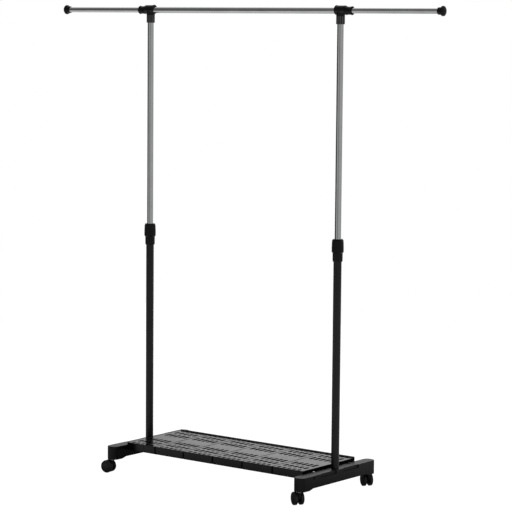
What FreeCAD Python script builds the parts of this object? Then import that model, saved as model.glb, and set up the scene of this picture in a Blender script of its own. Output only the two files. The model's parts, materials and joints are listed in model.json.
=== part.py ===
import FreeCAD, Part
import os
import re
import Sketcher
from FreeCAD import Rotation, Vector

# Rolling garment rail: two base bars on twin-wheel casters carry two telescopic uprights, which
# hold a hanging rail with a pull-out rod at each end.  A shoe shelf of clipped plates rests on two
# cross tubes between the bars.
#
# Frame: X runs along the hanging rail, +Z is up, the front is at -Y, and the origin is on the floor
# midway between the uprights.  Lengths are millimetres, angles are degrees.

DRIVING_SIZES = {
    # whole object
    "upright_spacing": 850, "rail_height": 1672, "collar_height": 895, "knob_reach": 845,
    # running clearance per side
    "fit_gap": 0.05,
    # base bars
    "bar_length": 435, "bar_width": 45, "bar_top": 98, "bar_foot": 50, "bar_arch": 55.5,
    "bar_wall": 4, "foot_length": 42, "arch_run": 20, "head_length": 107, "waist_inset": 4,
    "waist_depth": 12, "waist_corner": 3, "boss_radius": 21, "socket_floor": 68,
    "bar_side_wall": 3.2, "bar_corner": 20, "arch_round": 14, "edge_round": 2, "boss_wall": 5,
    "mark_place": 151, "mark_size": 8,
    # bolts and screws
    "bolt_radius": 3, "bolt_length": 22, "bolt_seat": 62, "bolt_head_height": 4,
    "bolt_head_corner": 5.8, "bolt_recess_radius": 7.5, "plug_length": 20, "screw_radius": 2,
    "screw_length": 8, "screw_head_radius": 5, "screw_head_height": 3, "hole_gap": 0.1,
    # telescopic uprights
    "lower_tube_radius": 14, "lower_tube_wall": 1, "upper_tube_radius": 11,
    "upper_tube_wall": 0.9, "upper_tube_foot": 812, "collar_length": 78, "nut_length": 47,
    "nut_radius": 20.2, "collar_radius": 17.6, "flute_count": 12, "collar_thread_radius": 15.6,
    "spigot_height": 24, "collet_length": 14, "bush_bore": 6, "tube_setback": 6.5,
    # hanging rail
    "rail_radius": 11, "rail_wall": 0.9, "rod_radius": 9.5, "rod_wall": 0.8,
    "barrel_radius": 15.6, "barrel_rise": 2, "barrel_lip": 1.2, "barrel_inboard": 18,
    "barrel_outboard": 23, "tee_drop": 46, "tee_socket_radius": 15, "tee_flute_count": 12,
    "tee_flute_depth": 1.6, "lock_reach": 49, "lock_radius": 15, "rod_insertion": 36,
    "rod_bush_bore": 5, "rod_bush_length": 12, "lock_thread_radius": 11.3, "lock_spigot": 40,
    "knob_radius": 17, "knob_length": 24, "knob_neck_radius": 12.4, "knob_cap": 6,
    # shelf
    "plate_pitch": 133.4, "plate_gap": 1.8, "plate_edge_round": 0.8, "shelf_depth": 304,
    "lip_height": 4.4, "lip_thickness": 2.6, "shelf_top": 108, "shelf_bottom": 80,
    "plate_skin": 2.6, "skirt": 2.2, "slot_pitch": 21.7, "slot_width": 12.4,
    "inner_slot_place": 52.5, "inner_slot_length": 40, "middle_slot_place": 102,
    "middle_slot_length": 30, "outer_slot_place": 139.5, "outer_slot_length": 18,
    "cross_tube_radius": 6.5, "cross_tube_wall": 1,
    "cross_tube_height": 86, "cross_tube_spread": 103, "cross_tube_insertion": 20,
    "screw_inset": 7.5,
    # casters
    "caster_spread": 202, "caster_trail": 18, "wheel_radius": 23, "caster_width": 41,
    "web_thickness": 11, "web_top": 46.4, "stem_radius": 4, "stem_foot": 31,
    "sleeve_radius": 7, "sleeve_top": 88, "flange_radius": 9, "swivel_boss_foot": 26.4,
    "axle_radius": 2.5, "hub_cap_radius": 13.8, "hub_groove": 1,
    "yaw_front_left": 190, "yaw_rear_left": 166, "yaw_front_right": 149, "yaw_rear_right": 147,
}

SHELF_PLATES = 6
SLOTS_PER_ROW = 5
SLOT_ROWS = ("inner", "middle", "outer")
SIDES = {"left": -1, "right": 1}
ENDS = {"front": -1, "rear": 1}

document = FreeCAD.newDocument("GarmentRail")
sizes = document.addObject("Spreadsheet::Sheet", "Sizes")


def fill_sheet():
    """Write each driving size to the sheet, with its name beside it as the cell's alias."""
    for row, (alias, size) in enumerate(DRIVING_SIZES.items(), start=1):
        sizes.set(f"A{row}", alias)
        sizes.set(f"B{row}", str(size))
        sizes.setAlias(f"B{row}", alias)
    document.recompute()


def formula(text):
    """Turn the size names in a formula into references to the sheet."""
    def reference(match):
        return "Sizes." + match.group() if match.group() in DRIVING_SIZES else match.group()
    return re.sub(r"[a-z_]+", reference, str(text))


def number(text):
    return float(sizes.evalExpression(formula(text)))


def bind(target, prop, text):
    target.setExpression(prop, formula(text))


def via(x, y):
    """A point that bends the edge between the two corners beside it into an arc."""
    return ("via", x, y)


class Piece:
    """One physical piece: a PartDesign body that carries the piece's name and place."""

    def __init__(self, label, x=0, y=0, z=0, yaw=0):
        self.label = label
        self.body = document.addObject("PartDesign::Body", label)
        self.body.Label = label
        self.body.Placement.Rotation = Rotation(Vector(0, 0, 1), 1)
        for axis, text in zip("xyz", (x, y, z)):
            bind(self.body, f"Placement.Base.{axis}", text)
        bind(self.body, "Placement.Rotation.Angle", f"({yaw}) * 1deg")
        self.count = 0

    def name(self, kind):
        self.count += 1
        return f"{self.label}_{kind}_{self.count}"

    def sketch(self, plane, loops=(), circles=(), offset=0, rise=0):
        """Sketch on one of the body's own origin planes, with every point held by a formula."""
        sketch = self.body.newObject("Sketcher::SketchObject", self.name("sketch"))
        origin_plane = [f for f in self.body.Origin.OriginFeatures if f.Role == plane][0]
        sketch.AttachmentSupport = [(origin_plane, "")]
        sketch.MapMode = "FlatFace"
        bind(sketch, "AttachmentOffset.Base.y", rise)
        bind(sketch, "AttachmentOffset.Base.z", offset)
        for loop in loops:
            draw_loop(sketch, loop)
        for x, y, radius in circles:
            draw_circle(sketch, x, y, radius)
        document.recompute()
        return sketch

    def feature(self, kind, sketch, grows, settings, bound=()):
        """Add a feature, and make sure that it changed the volume the way it should."""
        before = 0 if self.body.Shape.isNull() else self.body.Shape.Volume
        feature = self.body.newObject(f"PartDesign::{kind}", self.name(kind.lower()))
        feature.Profile = sketch
        for prop, setting in settings.items():
            setattr(feature, prop, setting)
        for prop, text in dict(bound).items():
            bind(feature, prop, text)
        document.recompute()
        after = self.body.Shape.Volume
        if (after > before) != grows:
            raise RuntimeError(f"{feature.Name} changed the volume from {before} to {after}")
        return feature

    def extrude(self, kind, plane, depth, backwards, loops=(), circles=(), offset=0, middle=False):
        sketch = self.sketch(plane, loops, circles, offset)
        settings = {"Reversed": backwards, "SideType": "Symmetric" if middle else "One side"}
        return self.feature(kind, sketch, kind == "Pad", settings, {"Length": depth})

    def pad(self, plane, depth, backwards=False, **shape):
        return self.extrude("Pad", plane, depth, backwards, **shape)

    def pocket(self, plane, depth, forwards=False, **shape):
        """Cut against the plane's normal, or along it with forwards."""
        return self.extrude("Pocket", plane, depth, forwards, **shape)

    def spin(self, plane, axis, loop, rise=0):
        """Turn a closed outline once round the sketch's own H_Axis or V_Axis."""
        sketch = self.sketch(plane, [loop], rise=rise)
        self.feature("Revolution", sketch, True, {"ReferenceAxis": (sketch, [axis]), "Angle": 360})
        return self

    def dress(self, kind, size, chosen):
        """Fillet or Chamfer the edges that chosen(edge) picks from the present shape."""
        tip = self.body.Tip
        names = [f"Edge{i}" for i, edge in enumerate(tip.Shape.Edges, start=1) if chosen(edge)]
        if not names:
            raise RuntimeError(f"{self.label}: no edge to dress with {kind} {size}")
        feature = self.body.newObject(f"PartDesign::{kind}", self.name(kind.lower()))
        feature.Base = (tip, names)
        bind(feature, "Radius" if kind == "Fillet" else "Size", size)
        document.recompute()
        return self

    def repeat_round(self, feature, count, plane_sketch):
        pattern = self.body.newObject("PartDesign::PolarPattern", self.name("ring"))
        pattern.Originals = [feature]
        pattern.Axis = (plane_sketch, ["N_Axis"])
        pattern.Angle = 360
        bind(pattern, "Occurrences", count)
        self.body.Tip = pattern
        document.recompute()
        return self

    def repeat_along(self, feature, sketch, count, length):
        pattern = self.body.newObject("PartDesign::LinearPattern", self.name("row"))
        pattern.Originals = [feature]
        pattern.Direction = (sketch, ["H_Axis"])
        bind(pattern, "Length", length)
        pattern.Occurrences = count
        self.body.Tip = pattern
        document.recompute()
        return self


def hold_point(sketch, geometry, position, x, y):
    """Hold one point of a sketch at two formulas, measured from the sketch's origin."""
    for kind, text in (("DistanceX", x), ("DistanceY", y)):
        constraint = Sketcher.Constraint(kind, -1, 1, geometry, position, number(text))
        index = sketch.addConstraint(constraint)
        sketch.setExpression(f"Constraints[{index}]", formula(text))


def draw_loop(sketch, loop):
    """Draw a closed outline of straight edges, with an arc wherever a via point stands."""
    corners = [point for point in loop if point[0] != "via"]
    bends = {}
    for index, point in enumerate(loop):
        if point[0] == "via":
            bends[corners.index(loop[index - 1])] = point[1:]
    places = [Vector(number(x), number(y), 0) for x, y in corners]
    edges = []
    for index, start in enumerate(places):
        end = places[(index + 1) % len(places)]
        if index in bends:
            middle = Vector(*[number(text) for text in bends[index]], 0)
            arc = sketch.addGeometry(Part.Arc(start, middle, end))
            turns_left = (middle - start).cross(end - middle).z > 0
            edges.append((arc, 1, 2) if turns_left else (arc, 2, 1))
            mark = sketch.addGeometry(Part.Point(middle), True)
            hold_point(sketch, mark, 1, *bends[index])
            sketch.addConstraint(Sketcher.Constraint("PointOnObject", mark, 1, arc))
        else:
            edges.append((sketch.addGeometry(Part.LineSegment(start, end)), 1, 2))
    for index, (edge, start, end) in enumerate(edges):
        following, following_start, _ = edges[(index + 1) % len(edges)]
        joint = Sketcher.Constraint("Coincident", edge, end, following, following_start)
        sketch.addConstraint(joint)
        hold_point(sketch, edge, start, *corners[index])


def draw_circle(sketch, x, y, radius):
    centre = Vector(number(x), number(y), 0)
    circle = sketch.addGeometry(Part.Circle(centre, Vector(0, 0, 1), number(radius)))
    hold_point(sketch, circle, 3, x, y)
    index = sketch.addConstraint(Sketcher.Constraint("Radius", circle, number(radius)))
    sketch.setExpression(f"Constraints[{index}]", formula(radius))


def rectangle(left, right, low, high):
    return [(left, low), (right, low), (right, high), (left, high)]


def long_slot(x, low, high, half_width):
    """An outline along the sketch's Y with a half-round at each end."""
    return [(f"{x} - {half_width}", f"{low} + {half_width}"), via(x, low),
            (f"{x} + {half_width}", f"{low} + {half_width}"),
            (f"{x} + {half_width}", f"{high} - {half_width}"), via(x, high),
            (f"{x} - {half_width}", f"{high} - {half_width}")]


def edge_middle(edge):
    return edge.valueAt((edge.FirstParameter + edge.LastParameter) / 2)


def runs_along(edge, axis):
    """True for a straight edge parallel to the axis named x, y or z."""
    if edge.Curve.TypeId != "Part::GeomLine":
        return False
    direction = edge.Vertexes[-1].Point - edge.Vertexes[0].Point
    return abs(getattr(direction.normalize(), axis)) > 0.999


def near(a, b):
    return abs(a - b) < 0.01


def flat_at(height):
    """Pick the edges that lie wholly at one height of the body's own frame."""
    def chosen(edge):
        return near(edge.BoundBox.ZMin, height) and near(edge.BoundBox.ZMax, height)
    return chosen


def tube(label, plane, start, length, radius, wall, **place):
    """A round tube from start along the positive normal of its plane."""
    piece = Piece(label, **place)
    circles = [(0, 0, radius), (0, 0, f"{radius} - {wall}")]
    piece.pad(plane, length, circles=circles, offset=start)
    return piece


def group(label, pieces):
    """Join identical small pieces into one node of separate solids."""
    node = document.addObject("Part::Compound", label)
    node.Label = label
    node.Links = [piece.body for piece in pieces]
    document.recompute()
    return node


def upright_x(side):
    return f"{SIDES[side]} * upright_spacing / 2"


def side_yaw(side):
    return 0 if side == "right" else 180


# ---------------------------------------------------------------- base bars

def bar_blank(side):
    """The bar's outer form: raised underside between the two feet, rounded ends, waisted top."""
    bar = Piece(f"base_bar_{side}", x=upright_x(side), yaw=side_yaw(side))
    end = "bar_length / 2"
    foot = f"({end} - foot_length)"
    arch = f"({foot} - arch_run)"
    profile = [(f"-{end}", "bar_foot"), (f"-{foot}", "bar_foot"), (f"-{arch}", "bar_arch"),
               (arch, "bar_arch"), (foot, "bar_foot"), (end, "bar_foot"), (end, "bar_top"),
               (f"-{end}", "bar_top")]
    bar.pad("YZ_Plane", "bar_width", loops=[profile], middle=True)
    bar.dress("Fillet", "bar_corner", lambda edge: runs_along(edge, "z"))
    arch_corners = (number(foot), number(arch))

    def is_arch_corner(edge):
        along = abs(edge_middle(edge).y)
        return runs_along(edge, "x") and any(near(along, corner) for corner in arch_corners)

    bar.dress("Fillet", "arch_round", is_arch_corner)
    bar.dress("Fillet", "edge_round", flat_at(number("bar_top")))
    recesses = [waist_recess(x, y) for x in SIDES.values() for y in ENDS.values()]
    bar.pocket("XY_Plane", "waist_depth", loops=recesses, offset="bar_top")
    return bar


def waist_recess(x, y):
    """Plan of one shallow recess in a bar's face, beside the boss, with rounded inner corners."""
    inset = f"{x} * (bar_width / 2 - waist_inset)"
    outside = f"{x} * (bar_width / 2 + 1)"
    corner = "waist_corner"
    bend = "(1 - sin(45 * 1deg)) * waist_corner"
    start = f"{y} * boss_radius"
    finish = f"{y} * (bar_length / 2 - head_length)"
    return [(outside, start), (f"{inset} + {x} * {corner}", start),
            via(f"{inset} + {x} * {bend}", f"{start} + {y} * {bend}"),
            (inset, f"{start} + {y} * {corner}"), (inset, f"{finish} - {y} * {corner}"),
            via(f"{inset} + {x} * {bend}", f"{finish} - {y} * {bend}"),
            (f"{inset} + {x} * {corner}", finish), (outside, finish)]


def base_bar(side):
    bar = bar_blank(side)
    cavity_half = "(bar_width / 2 - waist_inset - bar_side_wall)"
    tube_boss = "cross_tube_radius + boss_wall"
    cavities = []
    for y in ENDS.values():
        cavities.append(rectangle(f"-{cavity_half}", cavity_half, f"{y} * boss_radius",
                                  f"{y} * (cross_tube_spread - {tube_boss})"))
        cavities.append(rectangle(f"-{cavity_half}", cavity_half,
                                  f"{y} * (cross_tube_spread + {tube_boss})",
                                  f"{y} * (caster_spread - sleeve_radius - boss_wall - 1)"))
    bar.pocket("XY_Plane", "bar_top - bar_wall - bar_foot + 1", forwards=True, loops=cavities,
               offset="bar_foot - 1")
    bar.pocket("XY_Plane", "bar_top - socket_floor", offset="bar_top",
               circles=[(0, 0, "lower_tube_radius + fit_gap")])
    bar.pocket("XY_Plane", "socket_floor", forwards=True,
               circles=[(0, 0, "bolt_radius + 2 * hole_gap")])
    bar.pocket("XY_Plane", "bolt_seat", forwards=True, circles=[(0, 0, "bolt_recess_radius")])
    sleeves = [(0, f"{y} * caster_spread", "sleeve_radius + fit_gap") for y in ENDS.values()]
    bar.pocket("XY_Plane", "sleeve_top + 0.5", forwards=True, circles=sleeves)
    sockets = [(f"{y} * cross_tube_spread", "cross_tube_height",
                "cross_tube_radius + fit_gap") for y in ENDS.values()]
    bar.pocket("YZ_Plane", "cross_tube_insertion", forwards=True, circles=sockets,
               offset="-bar_width / 2")
    screw_holes = [("-bar_width / 2 + screw_inset", f"{y} * cross_tube_spread",
                    "screw_radius + hole_gap") for y in ENDS.values()]
    bar.pocket("XY_Plane", "bar_top - cross_tube_height", circles=screw_holes, offset="bar_top")
    mark = rectangle("-mark_place - mark_size / 2", "-mark_place + mark_size / 2",
                     "bar_top - mark_size - 3", "bar_top - 3")
    bar.pocket("YZ_Plane", 3, loops=[mark], offset="bar_width / 2")
    return bar.body


def foot_plug(side):
    """Threaded plug in the foot of the lower tube, which the foot bolt pulls down."""
    plug = Piece(f"foot_plug_{side}", x=upright_x(side))
    radius = "lower_tube_radius - lower_tube_wall - fit_gap"
    plug.pad("XY_Plane", "plug_length", offset="socket_floor",
             circles=[(0, 0, radius), (0, 0, "bolt_radius + fit_gap")])
    return plug.body


def foot_bolt(side):
    """Hexagon-headed bolt up through the bar into the foot plug."""
    bolt = Piece(f"foot_bolt_{side}", x=upright_x(side))
    hexagon = [(f"bolt_head_corner * cos({turn} * 1deg)", f"bolt_head_corner * sin({turn} * 1deg)")
               for turn in range(0, 360, 60)]
    bolt.pad("XY_Plane", "bolt_head_height", backwards=True, loops=[hexagon], offset="bolt_seat")
    bolt.pad("XY_Plane", "bolt_length", circles=[(0, 0, "bolt_radius")], offset="bolt_seat")
    return bolt


# ---------------------------------------------------------------- uprights

def lower_tube(side):
    seat = "collar_height - nut_length"
    return tube(f"lower_tube_{side}", "XY_Plane", "socket_floor", f"{seat} - socket_floor",
                "lower_tube_radius", "lower_tube_wall", x=upright_x(side)).body


def collar_body(side):
    """Sleeve pressed over the lower tube, with a threaded spigot that guides the upper tube."""
    body = Piece(f"collar_body_{side}", x=upright_x(side))
    foot = "(collar_height - collar_length)"
    seat = "(collar_height - nut_length)"
    spigot_top = f"{seat} + spigot_height"
    thread = "collar_thread_radius"
    tube_bore = "lower_tube_radius + fit_gap"
    guide_bore = "upper_tube_radius + fit_gap"
    body.spin("XZ_Plane", "V_Axis", [
        (tube_bore, foot), ("lower_tube_radius + 1.4", foot),
        via("collar_radius - 0.9", f"{foot} + 2.2"), ("collar_radius - 0.2", f"{foot} + 6"),
        ("collar_radius", f"{seat} - 1"), (thread, f"{seat} - 1"), (thread, spigot_top),
        (guide_bore, spigot_top), (guide_bore, seat), (tube_bore, seat)])
    return body.body


def collar_collet(side):
    """Split cone ring that the nut squeezes on to the upper tube."""
    collet = Piece(f"collar_collet_{side}", x=upright_x(side))
    foot = "(collar_height - nut_length + spigot_height + hole_gap)"
    top = f"{foot} + collet_length"
    bore = "upper_tube_radius + fit_gap"
    collet.spin("XZ_Plane", "V_Axis", [
        (bore, foot), ("collar_thread_radius - 0.2", foot), ("upper_tube_radius + 1.4", top),
        (bore, top)])
    collet.pocket("XY_Plane", "collet_length + 1", forwards=True, offset=foot,
                  loops=[rectangle(0, "collar_thread_radius + 1", -1, 1)])
    return collet.body


def collar_nut(side):
    """Twist nut: slightly wider at the foot, with shallow finger flutes."""
    nut = Piece(f"collar_nut_{side}", x=upright_x(side))
    foot = "(collar_height - nut_length)"
    thread = "collar_thread_radius + fit_gap"
    shoulder = f"{foot} + spigot_height + collet_length + 1"
    nut.spin("XZ_Plane", "V_Axis", [
        (thread, f"{foot} - 0.9"), ("nut_radius - 2.6", f"{foot} - 0.9"),
        ("nut_radius + 0.6", f"{foot} + 3"), via("nut_radius + 0.5", f"{foot} + 22"),
        ("nut_radius - 0.4", "collar_height - 4"), ("nut_radius - 3", "collar_height"),
        ("upper_tube_radius + 0.6", "collar_height"),
        ("upper_tube_radius + 0.6", shoulder), ("upper_tube_radius + 1.5", shoulder),
        (thread, f"{foot} + spigot_height")])
    flute = nut.pocket("XY_Plane", "nut_length - 13", forwards=True, offset=f"{foot} + 5",
                       circles=[("nut_radius + 2", 0, 2.6)])
    nut.repeat_round(flute, "flute_count", flute.Profile[0])
    return nut.body


def upper_tube(side):
    top = "rail_height - rail_radius - tube_setback"
    return tube(f"upper_tube_{side}", "XY_Plane", "upper_tube_foot", f"{top} - upper_tube_foot",
                "upper_tube_radius", "upper_tube_wall", x=upright_x(side)).body


def slide_bush(side):
    """Plastic bush plugged into the foot of the upper tube, which runs in the lower tube."""
    bush = Piece(f"slide_bush_{side}", x=upright_x(side))
    runner = "lower_tube_radius - lower_tube_wall - fit_gap"
    spigot = "upper_tube_radius - upper_tube_wall - fit_gap"
    bush.spin("XZ_Plane", "V_Axis", [
        ("bush_bore", "upper_tube_foot - 12"), (f"{runner} - 1", "upper_tube_foot - 12"),
        (runner, "upper_tube_foot - 10"), (runner, "upper_tube_foot"),
        (spigot, "upper_tube_foot"), (spigot, "upper_tube_foot + 14"),
        ("bush_bore", "upper_tube_foot + 14")])
    return bush.body


# ---------------------------------------------------------------- hanging rail

def tee(side):
    """Junction of upright and rail: a fluted socket below, a barrel across, a split spigot."""
    junction = Piece(f"tee_{side}", x=upright_x(side), z="rail_height", yaw=side_yaw(side))
    mouth = "-barrel_inboard"
    junction.spin("XZ_Plane", "H_Axis", [
        (mouth, 0), (mouth, "barrel_radius + barrel_lip - 0.8"),
        (f"{mouth} + 0.8", "barrel_radius + barrel_lip"),
        (f"{mouth} + 2.4", "barrel_radius + barrel_lip"), (f"{mouth} + 4", "barrel_radius"),
        ("barrel_outboard - 3", "barrel_radius"),
        via("barrel_outboard - 0.9", "barrel_radius - 0.9"),
        ("barrel_outboard", "barrel_radius - 2.6"), ("barrel_outboard", 0)], rise="barrel_rise")
    junction.pad("YZ_Plane", "lock_spigot", circles=[(0, 0, "lock_thread_radius")])
    junction.pad("XY_Plane", "tee_drop", backwards=True, circles=[(0, 0, "tee_socket_radius")])
    junction.dress("Fillet", "edge_round", flat_at(-number("tee_drop")))
    flute_tee(junction)
    junction.pocket("YZ_Plane", "barrel_inboard + barrel_outboard - 1", forwards=True,
                    offset=mouth, circles=[(0, 0, "rail_radius + fit_gap")])
    junction.pocket("YZ_Plane", "lock_reach", forwards=True,
                    circles=[(0, 0, "rod_radius + fit_gap")])
    junction.pocket("XY_Plane", "tee_drop - rail_radius - tube_setback + fit_gap", forwards=True,
                    offset="-tee_drop", circles=[(0, 0, "upper_tube_radius + fit_gap")])
    split = rectangle(-0.8, 0.8, "-lock_thread_radius - 1", "lock_thread_radius + 1")
    junction.pocket("YZ_Plane", 14, offset="lock_spigot", loops=[split])
    return junction.body


def flute_tee(junction):
    """Flutes up the socket, with a crest between two of them on each side of the rail."""
    flute_radius = 2.6
    half_step = "180 / tee_flute_count * 1deg"
    centre = f"(tee_socket_radius + {flute_radius} - tee_flute_depth)"
    flute = junction.pocket("XY_Plane", "tee_drop - 19", forwards=True, offset="-tee_drop",
                            circles=[(f"{centre} * sin({half_step})",
                                      f"{centre} * cos({half_step})", flute_radius)])
    junction.repeat_round(flute, "tee_flute_count", flute.Profile[0])


def rail_tube():
    overlap = "barrel_outboard - 3"
    return tube("rail_tube", "YZ_Plane", f"-upright_spacing / 2 - ({overlap})",
                f"upright_spacing + 2 * ({overlap})", "rail_radius", "rail_wall",
                z="rail_height").body


def rail_lock_nut(side):
    """Waisted twist ring over the tee's split spigot, flared at its mouth."""
    nut = Piece(f"rail_lock_nut_{side}", x=upright_x(side), z="rail_height", yaw=side_yaw(side))
    start = "barrel_outboard + 0.3"
    thread = "lock_thread_radius + fit_gap"
    shoulder = "lock_spigot + 0.3"
    nut.spin("XZ_Plane", "H_Axis", [
        (start, thread), (start, "lock_radius - 0.6"), ("barrel_outboard + 4", "lock_radius - 0.4"),
        ("barrel_outboard + 6", "lock_radius - 1"), via("barrel_outboard + 14", "lock_radius - 1.5"),
        ("lock_reach - 3", "lock_radius - 0.6"), ("lock_reach", "lock_radius"),
        ("lock_reach", "rod_radius + 1.6"),
        ("lock_reach - 3", "rod_radius + 0.3"), (shoulder, "rod_radius + 0.3"), (shoulder, thread)])
    return nut.body


def rod_start():
    return "upright_spacing / 2 - rod_insertion"


def extension_rod(side):
    yaw = side_yaw(side)
    length = f"knob_reach - knob_cap - ({rod_start()})"
    return tube(f"extension_rod_{side}", "YZ_Plane", rod_start(), length, "rod_radius",
                "rod_wall", z="rail_height", yaw=yaw).body


def rod_bush(side):
    """Bush plugged into the inner end of the rod, which runs inside the rail tube."""
    bush = Piece(f"rod_bush_{side}", z="rail_height", yaw=side_yaw(side))
    start = rod_start()
    runner = "rail_radius - rail_wall - fit_gap"
    spigot = "rod_radius - rod_wall - fit_gap"
    bush.spin("XZ_Plane", "H_Axis", [
        (f"{start} - rod_bush_length", "rod_bush_bore"),
        (f"{start} - rod_bush_length", f"{runner} - 1"),
        (f"{start} - rod_bush_length + 1.5", runner), (start, runner), (start, spigot),
        (f"{start} + rod_bush_length", spigot),
        (f"{start} + rod_bush_length", "rod_bush_bore")])
    return bush.body


def end_knob(side):
    """End stop pushed on to the rod: a short neck, a waist, and a thin flange with a domed face."""
    knob = Piece(f"end_knob_{side}", z="rail_height", yaw=side_yaw(side))
    neck = "(knob_reach - knob_length)"
    bore = "rod_radius + fit_gap"
    knob.spin("XZ_Plane", "H_Axis", [
        (neck, bore), (neck, "knob_neck_radius - 0.8"), (f"{neck} + 1", "knob_neck_radius"),
        (f"{neck} + 6", "knob_neck_radius"), (f"{neck} + 7", "knob_neck_radius - 0.9"),
        via(f"{neck} + 10.5", "knob_neck_radius - 0.3"), (f"{neck} + 14", "knob_radius - 1.8"),
        ("knob_reach - 8.4", "knob_radius"), ("knob_reach - 4.6", "knob_radius"),
        via("knob_reach - 3.5", "knob_radius - 0.7"), ("knob_reach - 3", "knob_radius - 2"),
        via("knob_reach - 0.8", "knob_radius / 2"), ("knob_reach", 2), ("knob_reach", 0),
        ("knob_reach - knob_cap + 0.2", 0), ("knob_reach - knob_cap + 0.2", bore)])
    return knob.body


# ---------------------------------------------------------------- shoe shelf

def cross_tube(end):
    """Steel tube between the bars under the shelf, drilled for its two screws."""
    half = "(upright_spacing / 2 - bar_width / 2 + cross_tube_insertion - 0.5)"
    piece = tube(f"cross_tube_{end}", "YZ_Plane", f"-{half}", f"2 * {half}",
                 "cross_tube_radius", "cross_tube_wall", y=f"{ENDS[end]} * cross_tube_spread",
                 z="cross_tube_height")
    holes = [(f"{x} * (upright_spacing / 2 - bar_width / 2 + screw_inset)", 0,
              "screw_radius + hole_gap") for x in SIDES.values()]
    piece.pocket("XY_Plane", "cross_tube_radius + 1", forwards=True, circles=holes)
    return piece.body


def shelf_screw(side, end):
    """Pan-head screw through the top of the bar into the cross tube."""
    screw = Piece(f"shelf_screw_{end}_{side}",
                  x=f"{SIDES[side]} * (upright_spacing / 2 - bar_width / 2 + screw_inset)",
                  y=f"{ENDS[end]} * cross_tube_spread", z="bar_top")
    rim = "screw_head_radius"
    screw.spin("XZ_Plane", "V_Axis", [
        (0, "-screw_length"), ("screw_radius", "-screw_length"), ("screw_radius", "fit_gap"),
        (rim, "fit_gap"), (rim, 1.2), via(f"{rim} - 1", "screw_head_height - 0.5"),
        (0.6, "screw_head_height"), (0, "screw_head_height")])
    for wide, tall in ((3, 0.5), (0.5, 3)):
        screw.pocket("XY_Plane", 1.2, offset=3, loops=[rectangle(-wide, wide, -tall, tall)])
    return screw


def shelf_plate(index):
    """Hollow moulded plate: slotted skin, rear lip, and skirts that clip over the cross tubes."""
    plate = Piece(f"shelf_plate_{index + 1}", x=f"({index} - {SHELF_PLATES / 2}) * plate_pitch")
    near_side = "plate_gap / 2"
    far_side = "plate_pitch - plate_gap / 2"
    half_depth = "shelf_depth / 2"
    plate.pad("XY_Plane", "shelf_top - shelf_bottom", offset="shelf_bottom",
              loops=[rectangle(near_side, far_side, f"-{half_depth}", half_depth)])
    plate.dress("Fillet", 1.5, lambda edge: runs_along(edge, "z") and edge_middle(edge).y < 0)
    rear = number(half_depth)

    def is_open_top_edge(edge):
        return flat_at(number("shelf_top"))(edge) and not near(edge_middle(edge).y, rear)

    plate.dress("Fillet", "plate_edge_round", is_open_top_edge)
    plate.pad("XY_Plane", "lip_height + plate_edge_round", offset="shelf_top - plate_edge_round",
              loops=[rectangle(near_side, far_side, f"{half_depth} - lip_thickness", half_depth)])
    plate.dress("Fillet", "plate_edge_round", flat_at(number("shelf_top + lip_height")))
    hollow_plate(plate, near_side, far_side, half_depth)
    slot_plate(plate)
    notches = []
    notch = "(cross_tube_radius + fit_gap)"
    for y in ENDS.values():
        middle = f"{y} * cross_tube_spread"
        notches.append([(f"{middle} - {notch}", "shelf_bottom - 1"),
                        (f"{middle} + {notch}", "shelf_bottom - 1"),
                        (f"{middle} + {notch}", "cross_tube_height"),
                        via(middle, f"cross_tube_height + {notch}"),
                        (f"{middle} - {notch}", "cross_tube_height")])
    plate.pocket("YZ_Plane", "plate_pitch + 2", forwards=True, loops=notches, offset=-1)
    return plate.body


def hollow_plate(plate, near_side, far_side, half_depth):
    """Open the plate from below into three long cells that leave two ribs standing."""
    half_rib = 0.9
    rib_offset = "slot_pitch / 2"
    middle = "plate_pitch / 2"
    walls = [f"{near_side} + skirt", f"{middle} - {rib_offset} - {half_rib}",
             f"{middle} - {rib_offset} + {half_rib}", f"{middle} + {rib_offset} - {half_rib}",
             f"{middle} + {rib_offset} + {half_rib}", f"{far_side} - skirt"]
    cells = [rectangle(left, right, f"skirt - {half_depth}", f"{half_depth} - skirt")
             for left, right in zip(walls[0::2], walls[1::2])]
    plate.pocket("XY_Plane", "shelf_top - plate_skin - shelf_bottom", forwards=True,
                 loops=cells, offset="shelf_bottom")


def slot_plate(plate):
    """Slots through the skin, in rows that shorten towards the plate's front and rear edges."""
    first = f"plate_pitch / 2 - {(SLOTS_PER_ROW - 1) / 2} * slot_pitch"
    slots = []
    for row in SLOT_ROWS:
        for y in ENDS.values():
            middle = f"{y} * {row}_slot_place"
            slots.append(long_slot(first, f"({middle} - {row}_slot_length / 2)",
                                   f"({middle} + {row}_slot_length / 2)", "slot_width / 2"))
    cut = plate.pocket("XY_Plane", "plate_skin + 1", loops=slots, offset="shelf_top")
    plate.repeat_along(cut, cut.Profile[0], SLOTS_PER_ROW, f"{SLOTS_PER_ROW - 1} * slot_pitch")


# ---------------------------------------------------------------- casters

def caster_place(side, end):
    """Where the caster's stem stands, and which way its wheels trail."""
    return {"x": upright_x(side), "y": f"{ENDS[end]} * caster_spread",
            "yaw": f"yaw_{end}_{side}"}


def trailing_place(side, end):
    """The wheels' common centre, which trails behind the stem."""
    place = caster_place(side, end)
    yaw = place["yaw"]
    return {"x": f"{place['x']} + caster_trail * cos({yaw} * 1deg)",
            "y": f"{place['y']} + caster_trail * sin({yaw} * 1deg)",
            "z": "wheel_radius", "yaw": yaw}


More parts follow.
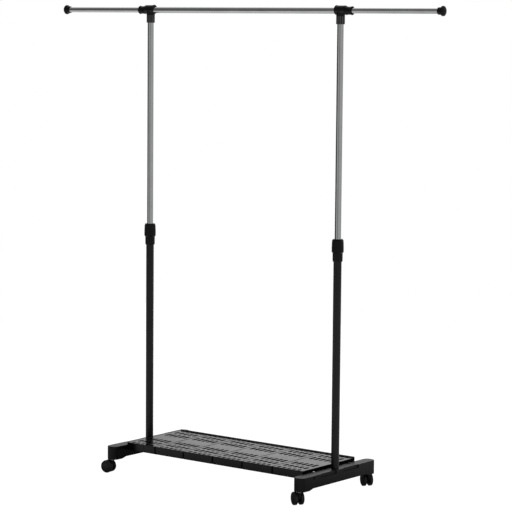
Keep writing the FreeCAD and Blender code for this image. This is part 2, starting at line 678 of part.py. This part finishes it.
def caster_sleeve(side, end):
    """Flanged sleeve in the bar that grips the stem."""
    place = caster_place(side, end)
    sleeve = Piece(f"caster_sleeve_{end}_{side}", x=place["x"], y=place["y"])
    bore = "stem_radius + fit_gap"
    sleeve.spin("XZ_Plane", "V_Axis", [
        (bore, "bar_foot - 1.5"), ("flange_radius", "bar_foot - 1.5"),
        ("flange_radius", "bar_foot - fit_gap"), ("sleeve_radius", "bar_foot - fit_gap"),
        ("sleeve_radius", "sleeve_top"),
        (0, "sleeve_top"), (0, "sleeve_top - 2"), (bore, "sleeve_top - 2")])
    return sleeve


def caster_stem(side, end):
    place = caster_place(side, end)
    stem = Piece(f"caster_stem_{end}_{side}", x=place["x"], y=place["y"])
    collar = "(bar_foot - 1.6)"
    stem.spin("XZ_Plane", "V_Axis", [
        (0, "stem_foot"), ("stem_radius - 1", "stem_foot"), ("stem_radius", "stem_foot + 1"),
        ("stem_radius", "web_top + 0.5"), ("flange_radius - 1", "web_top + 0.5"),
        ("flange_radius - 1", collar), ("stem_radius", collar),
        ("stem_radius", "sleeve_top - 4"), ("stem_radius - 1.2", "sleeve_top - 2.4"),
        (0, "sleeve_top - 2.4")])
    return stem.body


def caster_body(side, end):
    """Swivelling body: a boss round the stem that runs into a web between the wheels."""
    body = Piece(f"caster_body_{end}_{side}", **caster_place(side, end))
    trail, axle = "caster_trail", "wheel_radius"
    web = [(0, f"{axle} + 4"), via(f"{trail} / 2 - 1.5", f"{axle} - 2"),
           (f"{trail} - 5", f"{axle} - 13"), via(f"{trail} + 13", f"{axle} - 5"),
           (f"{trail} + 12", f"{axle} + 8"), via(f"{trail} + 3", f"{axle} + 18.5"),
           (f"{trail} - 8", "web_top"), (0, "web_top")]
    body.pad("XZ_Plane", "web_thickness", loops=[web], middle=True)
    body.pad("XY_Plane", "web_top - swivel_boss_foot", offset="swivel_boss_foot",
             circles=[(0, 0, "web_thickness / 2")])
    body.pocket("XY_Plane", "web_top - stem_foot + 1", offset="web_top",
                circles=[(0, 0, "stem_radius + fit_gap")])
    body.pocket("XZ_Plane", "web_thickness + 1", offset="(web_thickness + 1) / 2",
                circles=[(trail, axle, "axle_radius + fit_gap / 2")])
    return body.body


def caster_axle(side, end):
    axle = Piece(f"caster_axle_{end}_{side}", **trailing_place(side, end))
    axle.pad("XZ_Plane", "caster_width - 4.4", circles=[(0, 0, "axle_radius")], middle=True)
    return axle.body


def caster_wheel(side, end, hand):
    """Domed wheel with a flat tread and a hub cap set off by a ring groove."""
    wheel = Piece(f"caster_wheel_{hand}_{end}_{side}", **trailing_place(side, end))
    way = {"a": 1, "b": -1}[hand]
    inner = "(web_thickness / 2 + 0.8)"
    outer = "(caster_width / 2)"
    rim = "wheel_radius"
    cap = "hub_cap_radius"
    bore = "axle_radius + fit_gap"
    profile = [(bore, inner), (f"{rim} - 1", inner), (rim, f"{inner} + 1"),
               (rim, f"{outer} - 5.4"), via(f"{rim} - 0.5", f"{outer} - 4.1"),
               (f"{rim} - 1.8", f"{outer} - 3.2"), (f"{cap} + hub_groove", f"{outer} - 1.7"),
               (f"{cap} + hub_groove", f"{outer} - 2.6"), (cap, f"{outer} - 2.6"),
               (cap, f"{outer} - 1.4"), via(f"{cap} / 2", f"{outer} - 0.4"), (1.6, outer),
               (0, outer), (0, f"{outer} - 2"), (bore, f"{outer} - 2")]
    turned = []
    for point in profile:
        turned.append((*point[:-1], f"{way} * ({point[-1]})"))
    wheel.spin("XY_Plane", "V_Axis", turned)
    return wheel.body


# ---------------------------------------------------------------- assembly

def build_all():
    nodes = [rail_tube()]
    per_side = (base_bar, foot_plug, lower_tube, collar_body, collar_collet, collar_nut,
                upper_tube, slide_bush, tee, rail_lock_nut, extension_rod, rod_bush, end_knob)
    for side in SIDES:
        nodes += [make(side) for make in per_side]
    nodes.append(group("foot_bolts", [foot_bolt(side) for side in SIDES]))
    nodes += [cross_tube(end) for end in ENDS]
    corners = [(side, end) for side in SIDES for end in ENDS]
    nodes.append(group("shelf_screws", [shelf_screw(*corner) for corner in corners]))
    nodes += [shelf_plate(index) for index in range(SHELF_PLATES)]
    nodes.append(group("caster_sleeves", [caster_sleeve(*corner) for corner in corners]))
    for corner in corners:
        nodes += [caster_stem(*corner), caster_body(*corner), caster_axle(*corner)]
        nodes += [caster_wheel(*corner, hand) for hand in "ab"]
    return nodes


def check(nodes):
    """Stop if any object failed to build or any node's shape is unsound."""
    failed = [item.Name for item in document.Objects if {"Invalid", "Error"} & set(item.State)]
    if failed:
        raise RuntimeError(f"failed objects: {failed}")
    for node in nodes:
        if node.Shape.isNull() or not node.Shape.isValid():
            raise RuntimeError(f"{node.Label} has no valid shape")


def export(nodes):
    os.makedirs("parts", exist_ok=True)
    for node in nodes:
        node.Shape.exportStep(f"parts/{node.Label}.step")


fill_sheet()
all_nodes = build_all()
document.recompute()
check(all_nodes)
export(all_nodes)
print(f"{len(all_nodes)} nodes written")
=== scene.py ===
"""Looks, light and camera for a rolling garment rail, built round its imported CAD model."""

import json
import math

import bpy
from mathutils import Matrix, Vector


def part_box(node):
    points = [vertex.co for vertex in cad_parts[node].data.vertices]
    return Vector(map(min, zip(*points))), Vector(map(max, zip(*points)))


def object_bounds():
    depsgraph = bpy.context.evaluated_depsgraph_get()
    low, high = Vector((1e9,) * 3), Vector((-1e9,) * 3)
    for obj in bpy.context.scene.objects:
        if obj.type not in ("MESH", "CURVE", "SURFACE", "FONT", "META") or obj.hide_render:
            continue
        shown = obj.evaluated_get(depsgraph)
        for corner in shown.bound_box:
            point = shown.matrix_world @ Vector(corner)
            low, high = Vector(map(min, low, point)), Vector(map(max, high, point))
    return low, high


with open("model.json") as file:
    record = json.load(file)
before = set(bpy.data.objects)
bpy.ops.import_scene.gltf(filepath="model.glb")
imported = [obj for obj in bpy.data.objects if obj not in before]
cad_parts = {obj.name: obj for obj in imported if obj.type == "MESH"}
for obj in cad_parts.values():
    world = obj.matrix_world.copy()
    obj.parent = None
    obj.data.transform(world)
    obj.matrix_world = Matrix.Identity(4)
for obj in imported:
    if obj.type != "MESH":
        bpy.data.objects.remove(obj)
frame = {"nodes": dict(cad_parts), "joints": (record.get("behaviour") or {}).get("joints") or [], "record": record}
cad_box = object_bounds()

# ---------------------------------------------------------------- driving values, in metres

CAMERA_AZIMUTH = math.radians(38.16)
CAMERA_PITCH = math.radians(6.12)
CAMERA_ROLL = math.radians(0.48)
CAMERA_DISTANCE = 7.653
CAMERA_TARGET = Vector((0.0695, 0.0, 0.8111))
CAMERA_LENS = 152.58
CAMERA_SENSOR = 36.0

# Horizontal directions seen from the camera's side of the object.
TOWARDS_CAMERA = Vector((math.sin(CAMERA_AZIMUTH), -math.cos(CAMERA_AZIMUTH), 0.0))
TOWARDS_RIGHT = Vector((math.cos(CAMERA_AZIMUTH), math.sin(CAMERA_AZIMUTH), 0.0))

# Brightness of the studio round the object: turn from the camera in degrees, brightness.
LOW_WALLS = ((-180, 1.0), (-177, 0.5), (-174, 0.04), (-78, 0.04), (-68, 0.38), (-46, 0.34),
             (-36, 0.19), (-6, 0.20), (4, 0.32), (34, 0.33), (60, 0.36), (75, 0.30),
             (140, 0.34), (168, 0.60), (180, 1.0))
HIGH_WALLS = ((-180, 0.95), (-150, 0.60), (-118, 0.16), (-70, 0.10), (0, 0.14), (60, 0.20),
              (120, 0.45), (165, 0.90), (180, 0.95))
# Share of the high walls in the mix, by the sine of the elevation.
WALL_BLEND = ((-0.2, 0.0), (0.0, 0.0), (0.30, 1.0), (0.9, 1.0))

FLOOR_HALF_SIZE = 3.5
FLOOR_DIFFUSE = 0.22
FLOOR_GLOW = 1.02
# The floor as the object's surfaces see it: shaded close to the base, brighter further away.
# The shade is an ellipse in units of the object's half length and half depth.
FLOOR_SHADED = 0.05
FLOOR_REFLECTED = 0.52
SHADE_LENGTH = 0.6
SHADE_DEPTH = 1.3
SHADE_START = 1.0
SHADE_END = 2.2

# The tees' sockets: how far out they stand, their radius, the height of their flutes, and the brightness of the
# painted highlight on the crests between the flutes.
UPRIGHT_OFFSET = 0.425
SOCKET_RADIUS = 0.015
SOCKET_FLUTES = 0.0275
CREST_PAINTED_HIGHLIGHT = 0.20

# The lip along the shelf's rear edge with the brightness of its painted highlight, and the dull edges where two of
# its plates meet.
LIP_DEPTH = 0.0028
LIP_HEIGHT = 0.0040
LIP_PAINTED_HIGHLIGHT = 0.34
SEAM_HALF_WIDTH = 0.0040

# Base colours of the black parts, and of what rubs off or settles on them.
BLACK = 0.006
BLACK_FADED = 0.010
WORN_EDGE = 0.075
DUST = 0.16


# ---------------------------------------------------------------- node helpers

class Shader:
    """A material's node tree, with short ways to add and join nodes."""

    def __init__(self, name):
        self.material = bpy.data.materials.new(name)
        self.material.use_nodes = True
        self.tree = self.material.node_tree
        self.surface = self.tree.nodes["Principled BSDF"]
        self.place = self.add("ShaderNodeTexCoord").outputs["Object"]

    def add(self, kind, inputs=None, **settings):
        node = self.tree.nodes.new(kind)
        for name, setting in settings.items():
            setattr(node, name, setting)
        for name, source in (inputs or {}).items():
            self.feed(node.inputs[name], source)
        return node

    def feed(self, socket, source):
        """Give a socket a link if source is another node's output, and otherwise a value."""
        if isinstance(source, bpy.types.NodeSocket):
            self.tree.links.new(source, socket)
        else:
            socket.default_value = source

    def set(self, **inputs):
        for name, source in inputs.items():
            self.feed(self.surface.inputs[name.replace("_", " ")], source)

    def math(self, operation, *values):
        inputs = dict(enumerate(values))
        return self.add("ShaderNodeMath", inputs, operation=operation).outputs[0]

    def along(self, axis):
        """The piece's own coordinate along one axis."""
        return self.add("ShaderNodeSeparateXYZ", {0: self.place}).outputs[axis]

    def stretched(self, scale):
        """The piece's own coordinates, squeezed or stretched along each axis."""
        node = self.add("ShaderNodeMapping", {"Vector": self.place, "Scale": scale})
        return node.outputs[0]

    def noise(self, scale, detail=3.0, roughness=0.55, vector=None):
        inputs = {"Vector": vector or self.place, "Scale": scale, "Detail": detail,
                  "Roughness": roughness}
        return self.add("ShaderNodeTexNoise", inputs).outputs["Fac"]

    def cells(self, scale):
        """Distance to the nearest of many scattered points."""
        inputs = {"Vector": self.place, "Scale": scale}
        return self.add("ShaderNodeTexVoronoi", inputs, feature="F1").outputs["Distance"]

    def spread(self, source, low, high, to_low=0.0, to_high=1.0):
        """Map the range low..high of a value to another range, clamped."""
        inputs = {"Value": source, "From Min": low, "From Max": high, "To Min": to_low,
                  "To Max": to_high}
        return self.add("ShaderNodeMapRange", inputs, clamp=True).outputs[0]

    def mix(self, share, first, second):
        """Blend two colours: the first where share is 0, the second where it is 1."""
        node = self.add("ShaderNodeMix", data_type="RGBA")
        factor, _, _, _, _, _, colour_a, colour_b = node.inputs[:8]
        for socket, source in ((factor, share), (colour_a, first), (colour_b, second)):
            self.feed(socket, source)
        return node.outputs[2]

    def bump(self, height, depth, strength=1.0, under=None):
        """Raise the surface by depth metres where height is 1, over an earlier bump if given."""
        inputs = {"Height": height, "Distance": depth, "Strength": strength}
        if under is not None:
            inputs["Normal"] = under
        return self.add("ShaderNodeBump", inputs).outputs[0]

    def edges(self, radius, low=0.02, high=0.30):
        """1 on the piece's convex and concave edges, 0 on its faces."""
        rounded = self.add("ShaderNodeBevel", {"Radius": radius}, samples=4).outputs[0]
        flat = self.add("ShaderNodeNewGeometry").outputs["Normal"]
        alike = self.add("ShaderNodeVectorMath", {0: rounded, 1: flat}, operation="DOT_PRODUCT")
        return self.spread(alike.outputs["Value"], 1 - low, 1 - high)

    def facing_up(self, low=0.6, high=0.95):
        """1 on level faces that look up, 0 on steep ones."""
        normal = self.add("ShaderNodeNewGeometry").outputs["Normal"]
        height = self.add("ShaderNodeSeparateXYZ", {0: normal}).outputs["Z"]
        return self.spread(height, low, high)


def grey(level, warmth=0.0):
    return (level * (1 + warmth), level, level * (1 - warmth), 1.0)


# ---------------------------------------------------------------- places on the CAD pieces

def socket_crest_highlights(shader):
    """1 on the crests between the flutes of the two tee sockets, where a painted highlight goes, 0 elsewhere."""
    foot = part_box("tee_right")[0][2]
    top = foot + SOCKET_FLUTES
    outwards = shader.math("SUBTRACT", shader.math("ABSOLUTE", shader.along("X")), UPRIGHT_OFFSET)
    across = shader.along("Y")
    square = shader.math("ADD", shader.math("MULTIPLY", outwards, outwards),
                         shader.math("MULTIPLY", across, across))
    distance = shader.math("SQRT", square)
    crest = shader.spread(distance, SOCKET_RADIUS - 0.0004, SOCKET_RADIUS - 0.0001)
    return shader.math("MULTIPLY", crest, shader.spread(shader.along("Z"), top, top - 0.001))


def rear_lip_highlight(shader):
    """1 on the lip that stands along the shelf's rear edge, where a painted highlight goes, 0 elsewhere."""
    _, rear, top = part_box("shelf_plate_1")[1]
    front, foot = rear - LIP_DEPTH, top - LIP_HEIGHT
    behind = shader.spread(shader.along("Y"), front, front + 0.0002)
    return shader.math("MULTIPLY", behind, shader.spread(shader.along("Z"), foot, foot + 0.0005))


def plate_seams(shader):
    """1 on the rounded edges where two shelf plates meet, 0 elsewhere."""
    first_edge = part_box("shelf_plate_1")[0][0]
    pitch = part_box("shelf_plate_2")[0][0] - first_edge
    half_width = SEAM_HALF_WIDTH / pitch
    plates = shader.math("DIVIDE", shader.math("SUBTRACT", shader.along("X"), first_edge), pitch)
    past_seam = shader.math("SUBTRACT", plates, shader.math("ROUND", plates))
    return shader.spread(shader.math("ABSOLUTE", past_seam), half_width, 0.6 * half_width)


# ---------------------------------------------------------------- materials

def chrome(name, tube_axis):
    """Bright chrome plate: faint draw lines along the tube, finger smudges and haze."""
    shader = Shader(name)
    line_scale = [12.0 if axis == tube_axis else 1500.0 for axis in "XYZ"]
    lines = shader.noise(1.0, detail=2.0, roughness=0.5, vector=shader.stretched(line_scale))
    haze = shader.noise(14.0, detail=4.0, roughness=0.6)
    smudges = shader.spread(shader.noise(38.0, roughness=0.65), 0.60, 0.72)
    roughness = shader.spread(haze, 0.3, 0.7, to_low=0.07, to_high=0.15)
    roughness = shader.math("ADD", roughness, shader.math("MULTIPLY", smudges, 0.10))
    tint = shader.mix(shader.spread(haze, 0.35, 0.65), grey(0.80, -0.01), grey(0.88, -0.006))
    ripple = shader.bump(shader.noise(9.0, detail=2.0), depth=0.0006)
    shader.set(Base_Color=tint, Metallic=1.0, Roughness=roughness,
               Normal=shader.bump(lines, depth=0.00001, strength=0.6, under=ripple))
    return shader.material


def powder_coat():
    """Black powder coat on steel tube: orange peel, soft sheen and rubbed patches."""
    shader = Shader("PowderCoatBlack")
    peel = shader.noise(900.0, detail=2.0)
    grain = shader.noise(4200.0, detail=1.0)
    patches = shader.noise(22.0, detail=4.0, roughness=0.6)
    rubbed = shader.math("MULTIPLY", shader.edges(0.0012), 0.5)
    colour = shader.mix(shader.spread(patches, 0.35, 0.7), grey(BLACK), grey(BLACK_FADED, 0.01))
    colour = shader.mix(rubbed, colour, grey(0.05))
    roughness = shader.spread(patches, 0.3, 0.7, to_low=0.30, to_high=0.44)
    normal = shader.bump(peel, depth=0.00005, strength=0.5)
    shader.set(Base_Color=colour, Roughness=roughness,
               Normal=shader.bump(grain, depth=0.00001, strength=0.4, under=normal))
    return shader.material


def moulded_plastic(name, smooth, rough, shine, dark=BLACK, light=BLACK_FADED,
                    grain_depth=0.00005, rub=0.55, rim=0.0010, rim_shine=None, seams=None,
                    marks=None, highlight_level=0.0):
    """Black moulded plastic: spark-eroded grain, flow marks, scuffed edges and settled dust.

    The roughness goes from smooth to rough and the colour from dark to light.
    rub is how much the edges are worn pale, rim how wide they are and rim_shine their shine.
    seams(shader) picks out more places that are as dull as the rims.
    marks(shader) picks out a place that gets a painted highlight of the brightness highlight_level.
    """
    shader = Shader(name)
    grain = shader.cells(1500.0)
    fine = shader.noise(3800.0, detail=2.0)
    flow = shader.noise(16.0, detail=4.0, roughness=0.6)
    scuffs = shader.spread(shader.noise(65.0, detail=5.0, roughness=0.7), 0.58, 0.75)
    edge = shader.edges(rim)
    dull = shader.math("MAXIMUM", edge, seams(shader)) if seams else edge
    gloss = shine
    if rim_shine is not None:
        gloss = shader.spread(dull, 0.0, 1.0, to_low=shine, to_high=rim_shine)
    wear = shader.spread(flow, 0.4, 0.65, to_low=rub / 4, to_high=rub)
    settled = shader.spread(flow, 0.45, 0.75, to_low=0.0, to_high=0.22)
    colour = shader.mix(shader.spread(flow, 0.3, 0.7), grey(dark), grey(light, 0.01))
    colour = shader.mix(shader.math("MULTIPLY", edge, wear), colour, grey(WORN_EDGE))
    # Painted highlight where marks picks it out.
    if marks:
        colour = shader.mix(marks(shader), colour, grey(highlight_level))
    dust = shader.math("MULTIPLY", shader.facing_up(), settled)
    colour = shader.mix(dust, colour, grey(DUST, 0.04))
    roughness = shader.spread(flow, 0.3, 0.7, to_low=smooth, to_high=rough)
    roughness = shader.math("ADD", roughness, shader.math("MULTIPLY", scuffs, 0.12))
    normal = shader.bump(shader.noise(24.0, detail=2.0), depth=0.0004, strength=0.5)
    normal = shader.bump(grain, grain_depth, strength=0.45, under=normal)
    normal = shader.bump(fine, grain_depth / 4, strength=0.4, under=normal)
    shader.set(Base_Color=colour, Roughness=roughness, Specular_IOR_Level=gloss, Normal=normal)
    return shader.material


def wheel_plastic(axle):
    """Hard wheel plastic: turned face rings stay dark, and the tread picks up pale floor dust."""
    shader = Shader("WheelBlack")
    normal = shader.add("ShaderNodeTexCoord").outputs["Normal"]
    facing = shader.add("ShaderNodeVectorMath", {0: normal, 1: axle}, operation="DOT_PRODUCT")
    sideways = shader.math("ABSOLUTE", facing.outputs["Value"])
    tread = shader.spread(sideways, 0.45, 0.15)
    patches = shader.noise(120.0, detail=5.0, roughness=0.7)
    dusty = shader.spread(patches, 0.35, 0.65, to_low=0.15, to_high=0.75)
    dirt = shader.math("MULTIPLY", tread, dusty)
    colour = shader.mix(shader.spread(patches, 0.3, 0.7), grey(0.012), grey(0.019))
    colour = shader.mix(dirt, colour, grey(0.07, 0.05))
    roughness = shader.spread(patches, 0.3, 0.7, to_low=0.28, to_high=0.40)
    roughness = shader.math("ADD", roughness, shader.math("MULTIPLY", dirt, 0.3))
    shader.set(Base_Color=colour, Roughness=roughness,
               Normal=shader.bump(shader.noise(1600.0), depth=0.00004, strength=0.5))
    return shader.material


def nylon():
    """Natural nylon: milky, slightly translucent, with moulding haze."""
    shader = Shader("NylonNatural")
    haze = shader.noise(60.0, detail=4.0)
    colour = shader.mix(shader.spread(haze, 0.3, 0.7), grey(0.62, 0.03), grey(0.74, 0.02))
    shader.set(Base_Color=colour, Subsurface_Weight=0.25, Subsurface_Scale=0.002,
               Roughness=shader.spread(haze, 0.3, 0.7, to_low=0.35, to_high=0.5),
               Normal=shader.bump(shader.noise(1500.0, detail=2.0), depth=0.00003, strength=0.5))
    return shader.material


def zinc():
    """Zinc-plated steel, bright at the front, with painted shade darkening it to the rear: mottled, with dull
    edges.
    """
    shader = Shader("ZincPlate")
    mottle = shader.cells(420.0)
    haze = shader.noise(150.0, detail=4.0)
    colour = shader.mix(shader.spread(mottle, 0.1, 0.7), grey(0.62, -0.02), grey(0.74, -0.01))
    colour = shader.mix(shader.math("MULTIPLY", shader.edges(0.0004), 0.4), colour, grey(0.45))
    # Painted shade: the screws at the rear are darkened to near black.
    rear_painted_shade = shader.spread(shader.along("Y"), -0.02, 0.02)
    colour = shader.mix(rear_painted_shade, colour, grey(0.03))
    shader.set(Base_Color=colour, Metallic=1.0,
               Roughness=shader.spread(haze, 0.3, 0.7, to_low=0.24, to_high=0.42),
               Normal=shader.bump(shader.noise(2600.0, detail=2.0), depth=0.00002, strength=0.5))
    return shader.material


def shelf_plastic():
    """Smoother black plastic with dull rims and seams, and a painted highlight on the lip along the rear."""
    return moulded_plastic("PlasticShelf", smooth=0.16, rough=0.26, shine=0.40, dark=0.005,
                           light=0.008, grain_depth=0.00003, rub=0.05, rim=0.0070,
                           # The rear lip gets a painted highlight.
                           rim_shine=0.02, seams=plate_seams, marks=rear_lip_highlight,
                           highlight_level=LIP_PAINTED_HIGHLIGHT)


def cover(node, material):
    """Give a CAD node one material in place of its own."""
    mesh = frame["nodes"][node].data
    mesh.materials.clear()
    mesh.materials.append(material)


def axle_direction(corner):
    """The wheels' axis at a corner, from the joint that spins the first of them."""
    for joint in frame["joints"]:
        if joint["name"] == f"wheel_a_{corner}_spin":
            return Vector(joint["axis"]).normalized()
    raise ValueError(f"no wheel joint at {corner}")


def paint_nodes():
    """Cover each CAD node with the finish that its material slot and its name call for."""
    slots = {part["node"]: part["material_slot"] for part in frame["record"]["subparts"]}
    finishes = {
        "black_plastic": moulded_plastic("PlasticBlack", smooth=0.32, rough=0.44, shine=0.28),
        "shelf_plastic": shelf_plastic(),
        "caster_plastic": moulded_plastic("PlasticCaster", smooth=0.34, rough=0.46, shine=0.28),
        "black_tube": powder_coat(),
        "clear_nylon": nylon(),
        "steel_screw": zinc(),
    }
    # The tees' sockets get a painted highlight on the crests between their flutes.
    fluted = moulded_plastic("PlasticFluted", smooth=0.24, rough=0.34, shine=0.40,
                             marks=socket_crest_highlights, highlight_level=CREST_PAINTED_HIGHLIGHT)
    upright_chrome = chrome("ChromeUpright", "Z")
    rail_chrome = chrome("ChromeRail", "X")
    wheels = {}
    for node, slot in slots.items():
        if node.startswith("tee_"):
            cover(node, fluted)
        elif slot == "chrome_tube":
            cover(node, upright_chrome if node.startswith("upper_tube") else rail_chrome)
        elif slot == "wheel_plastic":
            corner = node.split("_", 3)[3]
            if corner not in wheels:
                wheels[corner] = wheel_plastic(axle_direction(corner))
            cover(node, wheels[corner])
        else:
            cover(node, finishes[slot])


# ---------------------------------------------------------------- studio

def ramp(tree, source, stops, low, high):
    """A brightness that follows stops of (position, brightness) between low and high."""
    spread = tree.nodes.new("ShaderNodeMapRange")
    spread.inputs["From Min"].default_value = low
    spread.inputs["From Max"].default_value = high
    tree.links.new(source, spread.inputs["Value"])
    ladder = tree.nodes.new("ShaderNodeValToRGB")
    elements = ladder.color_ramp.elements
    for place, _ in stops[2:]:
        elements.new((place - low) / (high - low))
    for element, (place, brightness) in zip(sorted(elements, key=lambda e: e.position), stops):
        element.position = (place - low) / (high - low)
        element.color = grey(brightness)
    tree.links.new(spread.outputs[0], ladder.inputs[0])
    return ladder.outputs["Color"]


def turn_from_camera(tree, look):
    """The angle of a direction about the vertical, 0 towards the camera and positive rightwards."""
    turn = tree.nodes.new("ShaderNodeMath")
    turn.operation = "ARCTAN2"
    for direction, socket in zip((TOWARDS_RIGHT, TOWARDS_CAMERA), turn.inputs):
        share = tree.nodes.new("ShaderNodeVectorMath")
        share.operation = "DOT_PRODUCT"
        share.inputs[1].default_value = direction
        tree.links.new(look, share.inputs[0])
        tree.links.new(share.outputs["Value"], socket)
    return turn.outputs[0]


def choose_by_ray(tree, to_camera, to_object):
    """One shader for what the camera sees and another for what the object's surfaces see."""
    rays = tree.nodes.new("ShaderNodeLightPath")
    choice = tree.nodes.new("ShaderNodeMixShader")
    sources = (rays.outputs["Is Camera Ray"], to_object.outputs[0], to_camera.outputs[0])
    for source, socket in zip(sources, choice.inputs):
        tree.links.new(source, socket)
    return choice.outputs[0]


def studio():
    """White to the camera; to everything else, low and high walls of changing brightness."""
    world = bpy.data.worlds.new("Studio")
    bpy.context.scene.world = world
    world.use_nodes = True
    tree = world.node_tree
    tree.nodes.clear()
    look = tree.nodes.new("ShaderNodeTexCoord").outputs["Generated"]
    turn = turn_from_camera(tree, look)
    low, high = (ramp(tree, turn, [(math.radians(degrees), level) for degrees, level in walls],
                      -math.pi, math.pi) for walls in (LOW_WALLS, HIGH_WALLS))
    parts = tree.nodes.new("ShaderNodeSeparateXYZ")
    tree.links.new(look, parts.inputs[0])
    blend = ramp(tree, parts.outputs["Z"], WALL_BLEND, -1.0, 1.0)
    shaped = tree.nodes.new("ShaderNodeMix")
    shaped.data_type = "RGBA"
    factor, _, _, _, _, _, colour_a, colour_b = shaped.inputs[:8]
    for source, socket in ((blend, factor), (low, colour_a), (high, colour_b)):
        tree.links.new(source, socket)
    around = tree.nodes.new("ShaderNodeBackground")
    tree.links.new(shaped.outputs[2], around.inputs["Color"])
    seen = tree.nodes.new("ShaderNodeBackground")
    seen.inputs["Color"].default_value = grey(1.0)
    output = tree.nodes.new("ShaderNodeOutputWorld")
    tree.links.new(choose_by_ray(tree, seen, around), output.inputs["Surface"])


def floor_shade(tree):
    """Brightness of the reflected floor, by its distance from the object's footprint."""
    half_length, half_depth, _ = cad_box[1]
    place = tree.nodes.new("ShaderNodeNewGeometry").outputs["Position"]
    scaled = tree.nodes.new("ShaderNodeVectorMath")
    scaled.operation = "DIVIDE"
    scaled.inputs[1].default_value = (half_length * SHADE_LENGTH, half_depth * SHADE_DEPTH, 1.0)
    tree.links.new(place, scaled.inputs[0])
    distance = tree.nodes.new("ShaderNodeVectorMath")
    distance.operation = "LENGTH"
    tree.links.new(scaled.outputs[0], distance.inputs[0])
    shade = tree.nodes.new("ShaderNodeMapRange")
    levels = {"From Min": SHADE_START, "From Max": SHADE_END, "To Min": FLOOR_SHADED,
              "To Max": FLOOR_REFLECTED}
    for name, level in levels.items():
        shade.inputs[name].default_value = level
    tree.links.new(distance.outputs["Value"], shade.inputs["Value"])
    return shade.outputs[0]


def floor_material():
    """Pale studio floor: near white to the camera with soft contact shade, dimmer in chrome."""
    material = bpy.data.materials.new("StudioFloor")
    material.use_nodes = True
    tree = material.node_tree
    tree.nodes.clear()
    diffuse = tree.nodes.new("ShaderNodeBsdfDiffuse")
    diffuse.inputs["Color"].default_value = grey(FLOOR_DIFFUSE)
    glow = tree.nodes.new("ShaderNodeEmission")
    glow.inputs["Strength"].default_value = FLOOR_GLOW
    seen = tree.nodes.new("ShaderNodeAddShader")
    for shader, socket in zip((diffuse, glow), seen.inputs):
        tree.links.new(shader.outputs[0], socket)
    reflected = tree.nodes.new("ShaderNodeEmission")
    tree.links.new(floor_shade(tree), reflected.inputs["Strength"])
    output = tree.nodes.new("ShaderNodeOutputMaterial")
    tree.links.new(choose_by_ray(tree, seen, reflected), output.inputs["Surface"])
    return material


def floor():
    """A square floor that the wheels stand on."""
    half = FLOOR_HALF_SIZE
    low = cad_box[0][2]
    mesh = bpy.data.meshes.new("Floor")
    corners = [(-half, -half, low), (half, -half, low), (half, half, low), (-half, half, low)]
    mesh.from_pydata(corners, [], [(0, 1, 2, 3)])
    mesh.materials.append(floor_material())
    piece = bpy.data.objects.new("Floor", mesh)
    bpy.context.scene.collection.objects.link(piece)


def camera():
    """Long lens that looks slightly down on the middle of the object."""
    back = TOWARDS_CAMERA * math.cos(CAMERA_PITCH) + Vector((0, 0, math.sin(CAMERA_PITCH)))
    level_up = back.cross(TOWARDS_RIGHT)
    right = TOWARDS_RIGHT * math.cos(CAMERA_ROLL) + level_up * math.sin(CAMERA_ROLL)
    up = back.cross(right)
    data = bpy.data.cameras.new("Camera")
    data.lens = CAMERA_LENS
    data.sensor_width = CAMERA_SENSOR
    data.clip_end = 4 * CAMERA_DISTANCE
    eye = bpy.data.objects.new("Camera", data)
    turn = Matrix((right, up, back)).transposed().to_4x4()
    eye.matrix_world = Matrix.Translation(CAMERA_TARGET + back * CAMERA_DISTANCE) @ turn
    bpy.context.scene.collection.objects.link(eye)
    bpy.context.scene.camera = eye


paint_nodes()
studio()
floor()
camera()
bpy.context.scene.view_settings.view_transform = "Standard"
